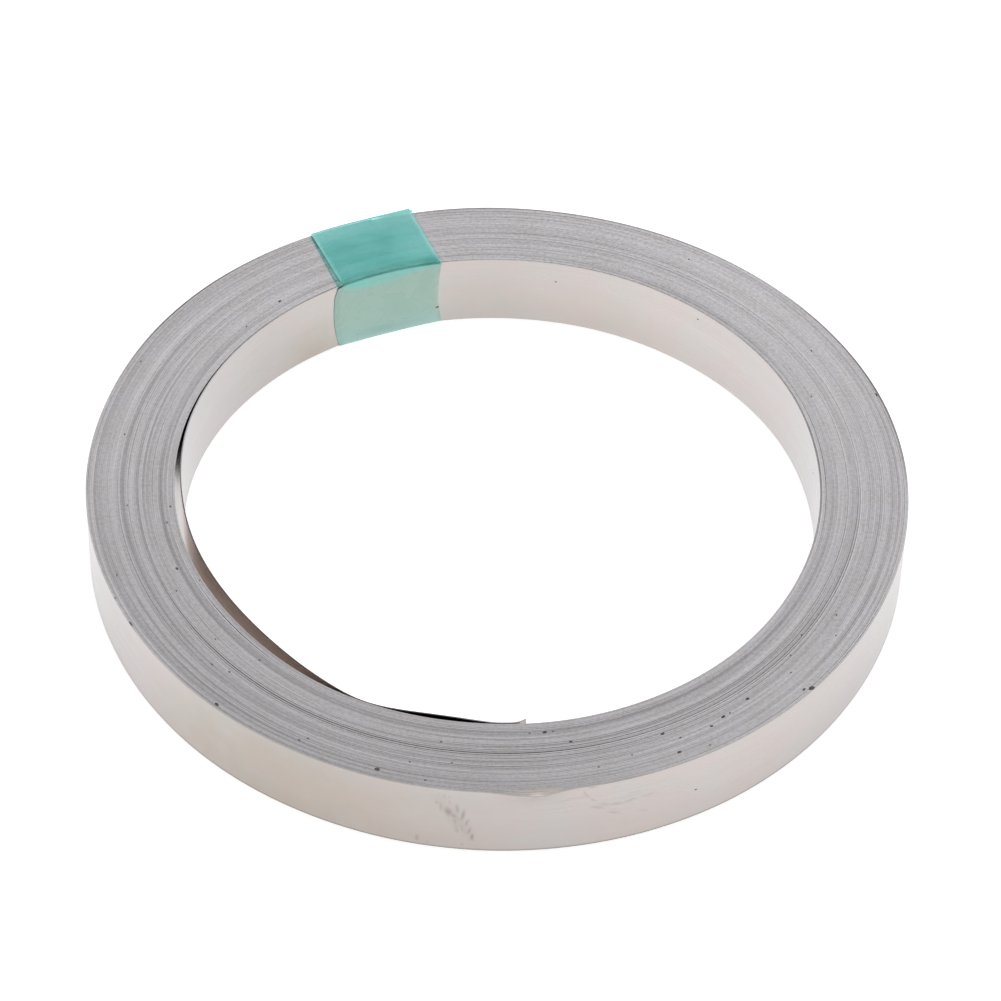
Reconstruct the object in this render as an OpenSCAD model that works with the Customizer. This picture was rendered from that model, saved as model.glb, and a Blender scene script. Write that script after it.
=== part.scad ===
// Nickel strip for joining battery cells, wound into a flat ring coil.
// The strip stands on its edge, so the coil is as high as the strip is wide.
// The innermost length has sprung free of the winding and bows into the bore,
// and one band of clear green film round the section keeps the turns together.
// The coil lies flat: Z is up, and the origin is under the coil's centre,
// on the surface that it lies on.

/* [Strip] */
// Width of the strip, which is the height of the coil
strip_w = 8; // [4:0.5:20]
// Thickness of the strip
strip_t = 0.12; // [0.1:0.01:0.3]

/* [Coil] */
// Outside diameter of the winding
coil_od = 80.2; // [72:0.2:120]
// Diameter of the bore inside the innermost whole turn
bore_d = 63.2; // [50:0.2:66]

/* [Free inner end] */
// Direction in which the free end leaves the wall of the bore, in degrees from +X
leave_az = 122; // [118:1:135]
// Direction in which the first bow comes back to the wall of the bore
touch_az = 249; // [200:1:255]
// Direction of the strip's inner tip
tip_az = 276; // [262:1:300]
// How far the first bow stands off the wall of the bore
bow = 1.7; // [0.4:0.1:6]
// How far the short bow before the tip stands off the wall of the bore
tip_bow = 0.4; // [0:0.1:1.5]

/* [Film band] */
// Direction of the middle of the band, in degrees from +X
band_az = 112; // [60:1:112]
// Width of the film
band_w = 11.4; // [4:0.2:12]
// Thickness of the film
film_t = 0.06; // [0.04:0.01:0.2]
// Layers of film on the upper face, where its two ends lap
lap_layers = 2; // [1:1:3]

/* [Hidden] */

coil_r = coil_od / 2;
bore_r = bore_d / 2;

// Share of the way through a rise that starts at a and takes w degrees
function ease(x, a, w) = let (s = min(1, max(0, (x - a) / w))) s * s * (3 - 2 * s);

// The first bow leaves the wall slowly and comes back to it quickly
bow_skew = 2.1;
function first_bow(az) =
    az >= touch_az ? 0 :
    bow * sin(180 * pow((az - leave_az) / (touch_az - leave_az), bow_skew));
function second_bow(az) =
    az <= touch_az ? 0 : tip_bow * sin(180 * (az - touch_az) / (tip_az - touch_az));

// At its root the free end comes out of the wall at a slant, and past the root
// it stays just clear of the wall where the bows come back to it
root_in = 0.25;
tip_clear = 0.05;
function tail_r(az) =
    bore_r + root_in - (root_in + tip_clear) * ease(az, leave_az, 9)
    - first_bow(az) - second_bow(az);

tail_step = 1.5;
tail_az = [for (i = [0 : floor((tip_az - leave_az) / tail_step)]) leave_az + i * tail_step];
tail_outer = [for (a = tail_az) tail_r(a) * [cos(a), sin(a)]];
tail_inner = [for (i = [len(tail_az) - 1 : -1 : 0])
    (tail_r(tail_az[i]) - strip_t) * [cos(tail_az[i]), sin(tail_az[i])]];

// The film is drawn straight across the hollow wall of the bore
chord_x = sqrt(pow(bore_r, 2) - pow(band_w / 2, 2));
band_h = strip_w + lap_layers * film_t;

// The wound turns, as one turned ring with its bore. Where the film passes
// below them the turns ride up by its thickness, so that the film lies flush
// with the underside.
module winding() {
    difference() {
        rotate_extrude($fn = 180)
            translate([bore_r, 0]) square([coil_r - bore_r, strip_w]);
        rotate([0, 0, band_az]) translate([0, -band_w / 2, -1])
            cube([2 * coil_r, band_w, 1 + film_t]);
    }
}

// The innermost length of the strip, sprung free of the winding. Its edges lie
// a hair inside the two faces of the coil.
edge_in = 0.02;
module free_end() {
    translate([0, 0, edge_in]) linear_extrude(height = strip_w - 2 * edge_in)
        polygon(concat(tail_outer, tail_inner));
}

module strip_coil() {
    color([0.74, 0.73, 0.71]) union() {
        winding();
        free_end();
    }
}

// A closed band round the ring's section: it follows the round outer wall,
// lies flat on both faces and crosses the bore's wall as a chord
module tape_band() {
    color([0.37, 0.71, 0.67, 0.75]) rotate([0, 0, band_az]) difference() {
        intersection() {
            cylinder(r = coil_r + film_t, h = band_h, $fn = 180);
            translate([chord_x - film_t, -band_w / 2, -1])
                cube([coil_r, band_w, band_h + 2]);
        }
        intersection() {
            translate([0, 0, film_t])
                cylinder(r = coil_r, h = strip_w - film_t, $fn = 180);
            translate([chord_x, -band_w, -1]) cube([coil_r, 2 * band_w, band_h + 2]);
        }
    }
}

strip_coil();
tape_band();
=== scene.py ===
import math

import bpy
import numpy as np
from mathutils import Matrix, Vector


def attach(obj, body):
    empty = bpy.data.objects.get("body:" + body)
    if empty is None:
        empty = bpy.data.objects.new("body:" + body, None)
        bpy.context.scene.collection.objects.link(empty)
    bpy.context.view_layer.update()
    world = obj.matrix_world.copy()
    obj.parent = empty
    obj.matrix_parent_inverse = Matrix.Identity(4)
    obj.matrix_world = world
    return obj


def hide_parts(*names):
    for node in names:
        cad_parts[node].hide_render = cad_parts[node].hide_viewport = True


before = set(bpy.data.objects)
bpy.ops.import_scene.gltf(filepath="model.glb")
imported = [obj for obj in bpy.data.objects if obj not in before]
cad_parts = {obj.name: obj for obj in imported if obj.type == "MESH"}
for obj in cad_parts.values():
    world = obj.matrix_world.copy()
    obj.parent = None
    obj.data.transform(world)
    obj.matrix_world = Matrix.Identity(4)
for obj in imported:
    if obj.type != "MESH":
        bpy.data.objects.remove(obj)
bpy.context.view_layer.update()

MM = 0.001
SHIFT = np.array([-0.027, 0.105])  # the winding's own centre, as measured, in the part's frame
STRIP_W = 8.0
STRIP_T = 0.12
WOUND_T = 0.181  # as the close-packed turns look from above, slitting burr included
FILM_T = 0.06
scene = bpy.context.scene


# ---------------------------------------------------------------- helpers
def smooth(x, a, b):
    """0 before a, 1 after b, and a soft rise between them."""
    t = np.clip((np.asarray(x, float) - a) / (b - a), 0, 1)
    return t * t * (3 - 2 * t)


def hump(x, centre, half):
    """1 at the centre, falling softly to 0 at half a width away."""
    t = np.clip(np.abs(np.asarray(x, float) - centre) / half, 0, 1)
    return (1 - t * t) ** 2


def waves(x, seed, longest, shortest, count=12):
    """A smooth random line of about unit height, made of sines from longest to shortest."""
    r = np.random.default_rng(seed)
    lengths = longest * (shortest / longest) ** (np.arange(count) / max(1, count - 1))
    out = np.zeros_like(np.asarray(x, float))
    for w in lengths:
        out += math.sqrt(w / longest) * np.sin(2 * math.pi * np.asarray(x, float) / (w * r.uniform(0.85, 1.18)) + r.uniform(0, 7))
    return out / math.sqrt(count / 3)


def fit_ring(table, harmonics):
    """A smooth closed curve through radii given by azimuth, as a function of azimuth in degrees."""
    az = np.radians(np.array(sorted(table), float))
    r = np.array([table[k] for k in sorted(table)])
    m = [np.ones_like(az)]
    for h in range(1, harmonics + 1):
        m += [np.cos(h * az), np.sin(h * az)]
    m = np.array(m).T
    c = np.linalg.solve(m.T @ m + 1e-3 * np.eye(m.shape[1]), m.T @ r)

    def f(a):
        a = np.radians(np.asarray(a, float))
        out = c[0] + 0 * a
        for h in range(1, harmonics + 1):
            out = out + c[2 * h - 1] * np.cos(h * a) + c[2 * h] * np.sin(h * a)
        return out

    return f


def new_object(name, mesh):
    o = bpy.data.objects.new(name, mesh)
    scene.collection.objects.link(o)
    return o


# ---------------------------------------------------------------- the wound strip
# The path is followed by winding angle: 0 at the inner tip, growing clockwise as seen
# from above, so azimuth = TIP_AZ - angle.
TIP_AZ = 276.0
END_AZ = 110.0
TURNS = 44
LAST = 360.0 * TURNS + (TIP_AZ - END_AZ)
PITCH = 0.19
LEAVE = TIP_AZ - 121.0  # the free end lies before this winding angle

out_wall = {
    0: 39.76, 10: 39.80, 20: 39.83, 30: 39.84, 45: 39.84, 60: 39.88, 75: 39.91, 90: 39.90, 100: 39.90, 110: 39.90,
    120: 39.94, 130: 40.00, 140: 40.04, 148: 39.93, 155: 39.79, 165: 39.70, 175: 39.67, 185: 39.56, 195: 39.55,
    205: 39.56, 215: 39.62, 225: 39.75, 235: 39.89, 245: 39.98, 255: 40.07, 262: 40.18, 270: 40.18, 280: 40.18,
    288: 40.18, 296: 40.14, 304: 40.04, 315: 39.90, 330: 39.72, 345: 39.65,
}
in_wall = {
    0: 31.20, 15: 31.42, 30: 31.70, 40: 31.78, 50: 31.81, 60: 31.84, 75: 31.84, 90: 31.77, 100: 31.72, 110: 31.72,
    120: 31.69, 130: 31.73, 138: 31.64, 146: 31.56, 153: 31.47, 159: 31.38, 165: 31.29, 171: 31.22, 177: 31.15,
    183: 31.11, 192: 31.10, 201: 31.10, 210: 31.10, 220: 31.15, 230: 31.33, 235: 31.47, 240: 31.62, 245: 31.75,
    250: 31.81, 255: 31.82, 260: 31.79, 268: 31.80, 276: 31.79, 285: 31.81, 295: 31.80, 305: 31.70, 315: 31.54,
    325: 31.38, 340: 31.20, 350: 31.18,
}


def turn_at(az, first):
    """The winding angle over 360 at an azimuth, on the turn that starts at first."""
    return ((TIP_AZ - az) % 360.0) / 360.0 + first


inner_line = fit_ring(
    {a: r + WOUND_T / 2 - PITCH * turn_at(a, 1 if 121 < a < 276 else 0) for a, r in in_wall.items()}, 10
)
outer_line = fit_ring(
    {
        a: r - WOUND_T / 2 + PITCH * (TURNS - turn_at(a, TURNS if END_AZ < a < 276 else TURNS - 1))
        for a, r in out_wall.items()
    },
    9,
)

# Gaps between turns: (radial place from 0 inside to 1 outside, first azimuth, last azimuth, gap in mm)
GAPS = [
    (0.405, 196, 300, 0.052), (0.430, 204, 296, 0.044), (0.385, 210, 286, 0.034),
    (0.405, 262, 378, 0.030), (0.430, 268, 372, 0.030), (0.355, 250, 350, 0.030), (0.480, 262, 350, 0.022),
    (0.285, 188, 262, 0.018), (0.285, 250, 372, 0.026), (0.310, 256, 350, 0.014),
    (0.060, 204, 236, 0.050),
    (0.640, 168, 232, 0.018), (0.640, 120, 184, 0.018), (0.600, 246, 300, 0.020),
    (0.520, 240, 300, 0.016), (0.480, 236, 296, 0.014), (0.700, 246, 292, 0.012),
    (0.800, 210, 268, 0.018), (0.800, 316, 346, 0.026), (0.650, 316, 372, 0.020),
    (0.490, 262, 330, 0.018), (0.490, 118, 176, 0.018), (0.430, 120, 190, 0.018),
    (0.960, 308, 352, 0.020), (0.940, 130, 158, 0.018), (0.940, 0, 40, 0.018), (0.050, -26, 32, 0.018),
    (0.300, -10, 28, 0.014), (0.690, -14, 40, 0.012), (0.620, 48, 104, 0.010), (0.470, 50, 106, 0.010), (0.250, 44, 100, 0.010),
]


def path_shift(theta):
    """How far the path lies from an even spiral, because turns lie close in packs with gaps between them."""
    n = 720
    count = TURNS + 2
    grid = np.arange(count * n) * (360.0 / n)
    az = TIP_AZ - grid
    even = (outer_line(az) - inner_line(az)) / TURNS  # even spacing at this azimuth
    held = smooth(grid, LEAVE, LEAVE + 50) * (1 - smooth(grid, LAST - 410, LAST - 360))
    held = np.where(grid > LAST - 360, 0.0, held)
    fixed = np.full_like(grid, 0.0004)
    for place, a1, a2, gap in GAPS:
        start, span = 360.0 * round(place * TURNS) + ((TIP_AZ - a2) % 360.0), a2 - a1
        soft = min(30.0, span / 2)
        u = grid - start
        fixed += gap * smooth(u, 0, soft) * (1 - smooth(u, span - soft, span))
    loose = np.maximum(0, waves(grid, 61, 640, 60, 14) - 0.25) ** 1.3 + 0.03
    rows = lambda f: f.reshape(count, n)
    # the turns are drawn just thick enough to leave this much room beside the stated gaps
    room = 0.10
    thick = (rows(held * (even - fixed)).sum(0) - room) / rows(held).sum(0)
    thick = np.tile(thick, count)
    share = room / rows(held * loose).sum(0)
    print("thickness as drawn, mm: least %.4f, most %.4f" % (thick.min(), thick.max()))
    delta = held * (thick - even + fixed + loose * np.tile(share, count))
    shift = np.zeros_like(grid)
    for k in range(1, count):
        shift[k * n : (k + 1) * n] = shift[(k - 1) * n : k * n] + delta[(k - 1) * n : k * n]
    return np.interp(theta, grid, shift), np.interp(theta, grid, thick)


def tail_inner(az):
    """Radius of the free end's inner face by azimuth."""
    table = [
        (118, 31.61), (122, 31.61), (126, 31.60), (130, 31.58), (134, 31.53), (138, 31.47), (142, 31.42), (146, 31.37),
        (150, 31.31), (153, 31.25), (156, 31.19), (159, 31.13), (162, 31.06), (165, 30.99), (168, 30.91), (171, 30.82),
        (174, 30.72), (177, 30.62), (180, 30.52), (183, 30.43), (186, 30.35), (189, 30.28), (192, 30.22), (195, 30.17),
        (198, 30.12), (203, 30.03), (208, 29.95), (213, 29.91), (218, 29.93), (222, 30.00), (226, 30.13), (230, 30.32),
        (234, 30.58), (238, 30.88), (242, 31.22), (245, 31.48), (248, 31.64), (250, 31.66), (252, 31.61), (255, 31.47),
        (258, 31.33), (261, 31.25), (264, 31.28), (267, 31.40), (270, 31.59), (271.5, 31.655), (273.4, 31.66), (274.6, 31.58),
        (276, 31.27),
    ]
    xs = np.array([t[0] for t in table], float)
    ys = np.array([t[1] for t in table], float)
    # a smooth curve through the table: monotone slopes, then cubic pieces
    h = np.diff(xs)
    d = np.diff(ys) / h
    m = np.zeros_like(ys)
    m[1:-1] = np.where(d[:-1] * d[1:] > 0, 2 * d[:-1] * d[1:] / (d[:-1] + d[1:] + 1e-12), 0)
    m[0], m[-1] = d[0], d[-1]
    i = np.clip(np.searchsorted(xs, az) - 1, 0, len(h) - 1)
    t = (az - xs[i]) / h[i]
    return (
        (2 * t**3 - 3 * t**2 + 1) * ys[i] + (t**3 - 2 * t**2 + t) * h[i] * m[i]
        + (-2 * t**3 + 3 * t**2) * ys[i + 1] + (t**3 - t**2) * h[i] * m[i + 1]
    )


PER_TURN = 216
fine_tip = np.concatenate([np.arange(0, 4.0, 0.25), np.arange(4.0, 360.0 / PER_TURN * 4, 0.8)])
knock_zone = [np.arange(360.0 * k - 9.0, 360.0 * k + 9.0, 0.6) for k in range(TURNS - 5, TURNS + 1)]
theta = np.unique(np.round(np.concatenate([fine_tip, np.arange(8.0, LAST, 360.0 / PER_TURN), [LAST]] + knock_zone), 6))
theta = theta[np.concatenate([[True], np.diff(theta) > 0.12])]
azimuth = TIP_AZ - theta
turn = theta / 360.0

base = inner_line(azimuth) + (turn / TURNS) * (outer_line(azimuth) - inner_line(azimuth))
shift_, thick_ = path_shift(theta)
half_t = STRIP_T / 2 + (thick_ - STRIP_T) / 2 * smooth(turn, 0.42, 0.95)
# the film presses the outer turns in a little
base -= 0.05 * hump(azimuth % 360, 112, 15) * smooth(turn, TURNS - 7, TURNS)


def spacing(radius):
    """Gap between each turn and the one outside it, taken at the same azimuth."""
    inside = theta < LAST - 360
    outer = np.interp(theta[inside] + 360, theta, radius)
    outer_half = np.interp(theta[inside] + 360, theta, half_t)
    keep = theta[inside] > LEAVE + 3
    return (outer - radius[inside] - half_t[inside] - outer_half)[keep]


radius = base + shift_
print("least gap between turns, mm:", round(float(spacing(radius).min()), 4))

# waviness of the two outermost layers, which shows in their shine
skin = smooth(turn, TURNS - 1.05, TURNS - 0.6)
radius += skin * 0.007 * waves(theta, 31, 60, 11, 8)

tail = tail_inner(np.clip(azimuth, 118, 276)) + half_t
blend = smooth(theta, LEAVE - 6, LEAVE + 1)
radius = np.where(theta < LEAVE + 1, tail * (1 - blend) + radius * blend, radius)

# height of each turn: some stand a hair prouder than their neighbours
r5 = np.random.default_rng(5)
lift = np.zeros_like(theta)
for _ in range(170):
    start, span, amount, reach = r5.uniform(0, LAST - 300), r5.uniform(50, 330), r5.normal(0, 0.005), r5.uniform(0.3, 1.6)
    k = np.floor((theta - start) / 360.0)
    u = (theta - start) - 360.0 * k
    b = np.where(u < span, smooth(u, 0, span / 2) * (1 - smooth(u, span / 2, span)), 0.0)
    lift += amount * b * np.exp(-np.abs(k) / reach)
lift += 0.003 * waves(theta, 41, 700, 60, 8)
lift = np.clip(lift, -0.012, 0.014) + 0.012
lift *= 1 - 0.6 * (1 - smooth(theta, 60, LEAVE))

# a knock has bent the rim of the outermost turns outward and down
knock_az = azimuth % 360
t_ = np.clip(np.where(knock_az < 275.8, (275.8 - knock_az) / 6.5, (knock_az - 275.8) / 5.5), 0, 1)
knock = (1 - t_ * t_) ** np.where(knock_az < 275.8, 2.0, 1.3) * (turn > TURNS - 5.6)

a = np.radians(azimuth)
xy = np.stack([radius * np.cos(a), radius * np.sin(a)], 1) + SHIFT
step = np.gradient(xy, theta, axis=0)
step /= np.linalg.norm(step, axis=1)[:, None]
out = np.stack([-step[:, 1], step[:, 0]], 1)  # points away from the centre, because the path runs clockwise
if (out[100] @ xy[100]) < 0:
    out = -out
run = np.concatenate([[0], np.cumsum(np.linalg.norm(np.diff(xy, axis=0), axis=1))])
print("length of strip, m:", round(run[-1] * MM, 3))

bevel = np.where((turn < 1.45) | (turn > TURNS - 1.0), 0.008, 0.0045)
ROWS = [0.5, 1.6, 3.0, 4.4, 5.6, 6.4, 6.9, 7.3, 7.6, 7.82]
dense = (turn < 1.5) | (turn > TURNS - 1.0) | (knock > 0)


def rim_bend(n, z, i):
    """Outward shift and drop of a point of ring i, n out from its middle and at height z, and how much it is knocked."""
    k = knock[i] * float(smooth(turn[i] + 0.5 * n / half_t[i], TURNS - 5.0, TURNS + 0.5))
    return k * 0.41 * float(smooth(z, 6.3, 8.0)), k * 0.14 * float(smooth(z, 7.0, 8.0)), k


def section(i, rows):
    """Points round the strip's section at ring i: (outward, height)."""
    h, w, b = half_t[i], STRIP_W, bevel[i]
    pts = [(h, b)] + [(h, z) for z in rows] + [(h, w - b), (h - b, w), (-h + b, w), (-h, w - b)]
    pts += [(-h, z) for z in reversed(rows)] + [(-h, b), (-h + b, 0), (h - b, 0)]
    return pts


verts, rings, tags, sides, bent = [], [], [], [], []
for i in range(len(theta)):
    rows = ROWS if dense[i] else []
    ring = []
    n_side = len(rows) + 2
    sides += [1] * n_side + [0, 0] + [-1] * n_side + [0, 0]
    for n, z in section(i, rows):
        s, drop, k = rim_bend(n, z, i) if knock[i] > 0 else (0.0, 0.0, 0.0)
        bent.append(k)
        p = xy[i] + out[i] * (n + s)
        zz = z + lift[i] * (0.6 + 0.4 * z / STRIP_W) - drop
        ring.append(len(verts))
        verts.append((p[0] * MM, p[1] * MM, zz * MM))
        tags.append(i)
    rings.append(ring)

faces, kinds = [], []  # kind 0: rolled faces, 1: slit edges


def named(ring, rows):
    """The ring's points by place: outer side going up, inner side going up, and the four bevel points."""
    n = len(rows)
    side_out = ring[0 : n + 2]
    top_out, top_in = ring[n + 2], ring[n + 3]
    side_in = list(reversed(ring[n + 4 : 2 * n + 6]))
    bot_in, bot_out = ring[2 * n + 6], ring[2 * n + 7]
    return side_out, side_in, top_out, top_in, bot_in, bot_out


for i in range(len(theta) - 1):
    ra, rb = (ROWS if dense[i] else []), (ROWS if dense[i + 1] else [])
    A, B = named(rings[i], ra), named(rings[i + 1], rb)
    for side, flip in ((0, False), (1, True)):
        if len(A[side]) == len(B[side]):
            for j in range(len(A[side]) - 1):
                f = [A[side][j], B[side][j], B[side][j + 1], A[side][j + 1]]
                faces.append(f[::-1] if flip else f)
                kinds.append(0)
        else:
            f = list(A[side][::-1]) + list(B[side])
            faces.append(f[::-1] if flip else f)
            kinds.append(0)
    for p, q in (
        ((A[0][-1], A[2]), (B[0][-1], B[2])),
        ((A[2], A[3]), (B[2], B[3])),
        ((A[3], A[1][-1]), (B[3], B[1][-1])),
        ((A[1][0], A[4]), (B[1][0], B[4])),
        ((A[4], A[5]), (B[4], B[5])),
        ((A[5], A[0][0]), (B[5], B[0][0])),
    ):
        faces.append([p[0], q[0], q[1], p[1]])
        kinds.append(1)
faces.append(rings[0])
kinds.append(1)
faces.append(rings[-1][::-1])
kinds.append(1)

mesh = bpy.data.meshes.new("wound_strip")
mesh.from_pydata(verts, [], faces)
kinds = np.array(kinds)
mids = np.array([(tags[f[0]] + tags[f[1]]) / 2 for f in faces])
mid_th = np.interp(mids, np.arange(len(theta)), theta)
# the marked stretch of the outer wall has a surface of its own (kind 2)
outward = np.array([sides[f[0]] > 0 and sides[f[-1]] > 0 for f in faces])
kinds[(kinds == 0) & outward & (mid_th > 360.0 * TURNS - 19.5) & (mid_th < 360.0 * TURNS + 19.5)] = 2
mesh.polygons.foreach_set("material_index", kinds.astype(np.int32))
mesh.polygons.foreach_set("use_smooth", np.ones(len(faces), bool))

tags = np.array(tags)
co = np.array(verts) / MM


def put(name, values, target=mesh):
    target.attributes.new(name, "FLOAT", "POINT").data.foreach_set("value", np.asarray(values, np.float32))


# packs of turns have a tone of their own, and so has each turn
r9 = np.random.default_rng(9)
pack = np.zeros_like(theta)
for turns_long in (9.0, 6.1, 4.2, 3.3, 2.5, 1.9, 1.55):
    f = 1 / (turns_long * r9.uniform(0.93, 1.07))
    pack += r9.uniform(0.7, 1.1) * np.sin(2 * math.pi * (turn + 0.9 * waves(theta, 57, 1900, 150, 6)) * f + np.radians(azimuth) * r9.integers(-2, 3) + r9.uniform(0, 7))
tone = 0.5 + 0.17 * waves(theta, 51, 5200, 240, 16) + 0.14 * waves(theta, 52, 300, 55, 9) + 0.085 * pack
put("turn", turn[tags])
put("run", run[tags] * MM)

vaz = np.degrees(np.arctan2(co[:, 1] - SHIFT[1], co[:, 0] - SHIFT[0])) % 360
vr = np.hypot(co[:, 0] - SHIFT[0], co[:, 1] - SHIFT[1])
outer_face = smooth(vr, 39.0, 39.3)
inner_face = 1 - smooth(vr, 31.95, 32.1)


def patch(az, half_az, z, half_z):
    d = np.abs((vaz - az + 180) % 360 - 180)
    return np.clip(1 - (d / half_az) ** 2 - ((co[:, 2] - z) / half_z) ** 2, 0, 1)


stain = outer_face * (
    0.95 * patch(236, 22, 2.5, 9) + 0.45 * patch(250, 16, 3.0, 8) + 0.30 * patch(262, 12, 2.0, 7) + 0.2 * patch(292, 20, 0.5, 3)
) + inner_face * (
    0.9 * patch(127, 9, 1.0, 4.5) + 0.35 * patch(95, 14, 2.5, 4) + 0.3 * patch(70, 18, 1.5, 4)
)
put("stain", np.clip(stain, 0, 1))
put("outer", outer_face)
put("scuff", np.clip(outer_face * (patch(280, 10, 6.9, 2.6) + 0.7 * patch(289, 7, 5.6, 2.2)), 0, 1))
bent = np.array(bent)
# a brownish tint over the bent rim at the knock, strongest across the lip
lip_span = smooth(vaz, 270.5, 275) * (1 - smooth(vaz, 278.6, 280.5)) * smooth(vr, 39.75, 40.05)
put("knocked", np.clip(bent * 3.0, 0, 1) * smooth(co[:, 2], 7.2, 7.75) * (0.15 + 0.85 * lip_span))
# painted highlight: a cream glint on the outermost rim at the knock
put("glint", hump(vaz, 276.3, 1.3) * smooth(vr, 40.18, 40.42) * smooth(co[:, 2], 7.75, 7.84))
az_ = azimuth % 360
# dark lines along the rims of the top face: painted shade along the inner rim beside the innermost turn, and a darker
# line along the outer rim; the shade mark also paints shade on the free end's slit edge
rim_dark_line = (turn > TURNS - 0.54) * np.maximum(np.maximum(hump(az_, 22, 30), hump(az_, 142, 22)), 0.75 * hump(az_, 80, 50)) * 0.85
rim_dark_line = rim_dark_line + ((turn > 0.46) & (turn < 1.46)) * hump((az_ + 60) % 360, 70, 40) * 0.6
put("shade", np.clip(smooth(theta, 7, 13) * (1 - smooth(theta, 84, 112)) + rim_dark_line, 0, 1)[tags])
sides = np.array(sides)
th = theta[tags]
face_out, face_in = sides > 0, sides < 0
seen = (face_out & (th > LAST - 361)) | (face_in & (th < LEAVE + 361)) | (face_out & (th < LEAVE + 3))
# painted shade: faces shut in between two turns get no light, so they are painted near black
put("shut", np.where((sides != 0) & ~seen, 1.0 - 0.8 * np.clip(bent * 6, 0, 1), 0.0))
# painted shade: the bevels next to the rolled faces are darkened so that they catch less light
put("flank", np.abs(sides))
# the two faces that look at each other across the gap behind the free end: painted shade makes them dark, painted
# light makes a stretch of them and the tip paler, and a painted highlight makes them near white at the left of the gap
# and at the tip
w = th % 360
lit = smooth(w, 20, 42) * (1 - smooth(w - 1.8 * (8 - co[:, 2]), 89, 107)) + 0.72 * (1 - smooth(w, 3, 7))
bright = smooth(w, 80, 92) + 0.5 * (1 - smooth(w, 8, 10))
gap_shade = (face_out & (th < LEAVE)) | (face_in & (th > 360) & (th < 360 + LEAVE))
put("gap_shade", np.where(gap_shade, 1.0, 0.0))
put("lit", np.where(gap_shade, np.clip(lit, 0, 1), 0.0))
put("bright", bright)


def by_azimuth(table):
    xs = sorted(table)
    return np.interp(vaz, [xs[-1] - 360] + xs + [xs[0] + 360], [table[xs[-1]]] + [table[x] for x in xs] + [table[xs[0]]])


put("tone", np.clip(0.5 + (tone[tags] - 0.5) * by_azimuth({270: 1.0, 225: 1.0, 180: 0.95, 135: 0.80, 90: 0.58, 45: 0.52, 0: 0.60, 315: 0.85}), 0, 1))
# painted light and shade: the top face and both walls turn slowly lighter or darker round the coil, standing in for
# how the light falls on each side, and the top face is painted darker near its inner rim at the back right
even_top = by_azimuth({270: 0.85, 225: 0.885, 180: 0.935, 140: 0.97, 90: 0.91, 45: 0.985, 5: 0.96, 315: 0.945})
even_top = even_top * (1 - 0.14 * hump(vaz, 58, 38) * (1 - smooth(vr, 31.9, 33.8)))
even_out = by_azimuth({270: 0.885, 240: 0.855, 222: 0.93, 207: 0.905, 188: 1.0, 90: 1.0, 352: 0.90, 330: 0.90, 300: 0.96})
even_in = by_azimuth({90: 0.935, 60: 1.045, 30: 1.04, 5: 1.02, 270: 0.99, 178: 0.965, 150: 0.95, 138: 0.91, 120: 0.96})
even = np.where(sides == 0, even_top, np.where(face_out, even_out, even_in))
put("even", (even - 0.85) / 0.3)
# painted reflection: the walls turn cooler and more neutral towards the left and right, where they are seen at a
# grazing angle
put("cool", np.clip(np.abs(np.cos(np.radians(vaz))) ** 6, 0, 1))
print("triangles in the strip:", sum(len(f) - 2 for f in faces))
mesh.set_sharp_from_angle(angle=math.radians(28))
mesh.validate()
coil = new_object("wound_strip", mesh)


# ---------------------------------------------------------------- the film band
def lerp(p, q, t):
    return p + (q - p) * t


def polar(r, az):
    return np.array([r * math.cos(math.radians(az)), r * math.sin(math.radians(az))]) + SHIFT


def rim(az):
    """Radius of the winding's outer face under the film, with the strip's outer end as a soft step."""
    wall = radius + half_t
    last = float(np.interp(min(LAST, 360.0 * TURNS + TIP_AZ - az), theta, wall))
    below = float(np.interp(360.0 * (TURNS - 1) + TIP_AZ - az, theta, wall))
    return max(below, last - 0.19 * float(smooth(END_AZ - az, 0.2, 5.0)))


def bore(az):
    """Radius of the bore's wall under the film."""
    return float(np.interp(TIP_AZ - az, theta, radius - half_t))


# Edges of the film by place, in degrees: each pair is its left and its right edge.
LOW_IN, LOW_OUT = (121.75, 101.05), (119.85, 103.75)  # lower layer at the inner and at the outer rim
TOP_IN, TOP_OUT = (120.75, 101.65), (119.60, 104.15)  # upper layer
WALL_LOW = (121.60, 101.35)

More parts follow.
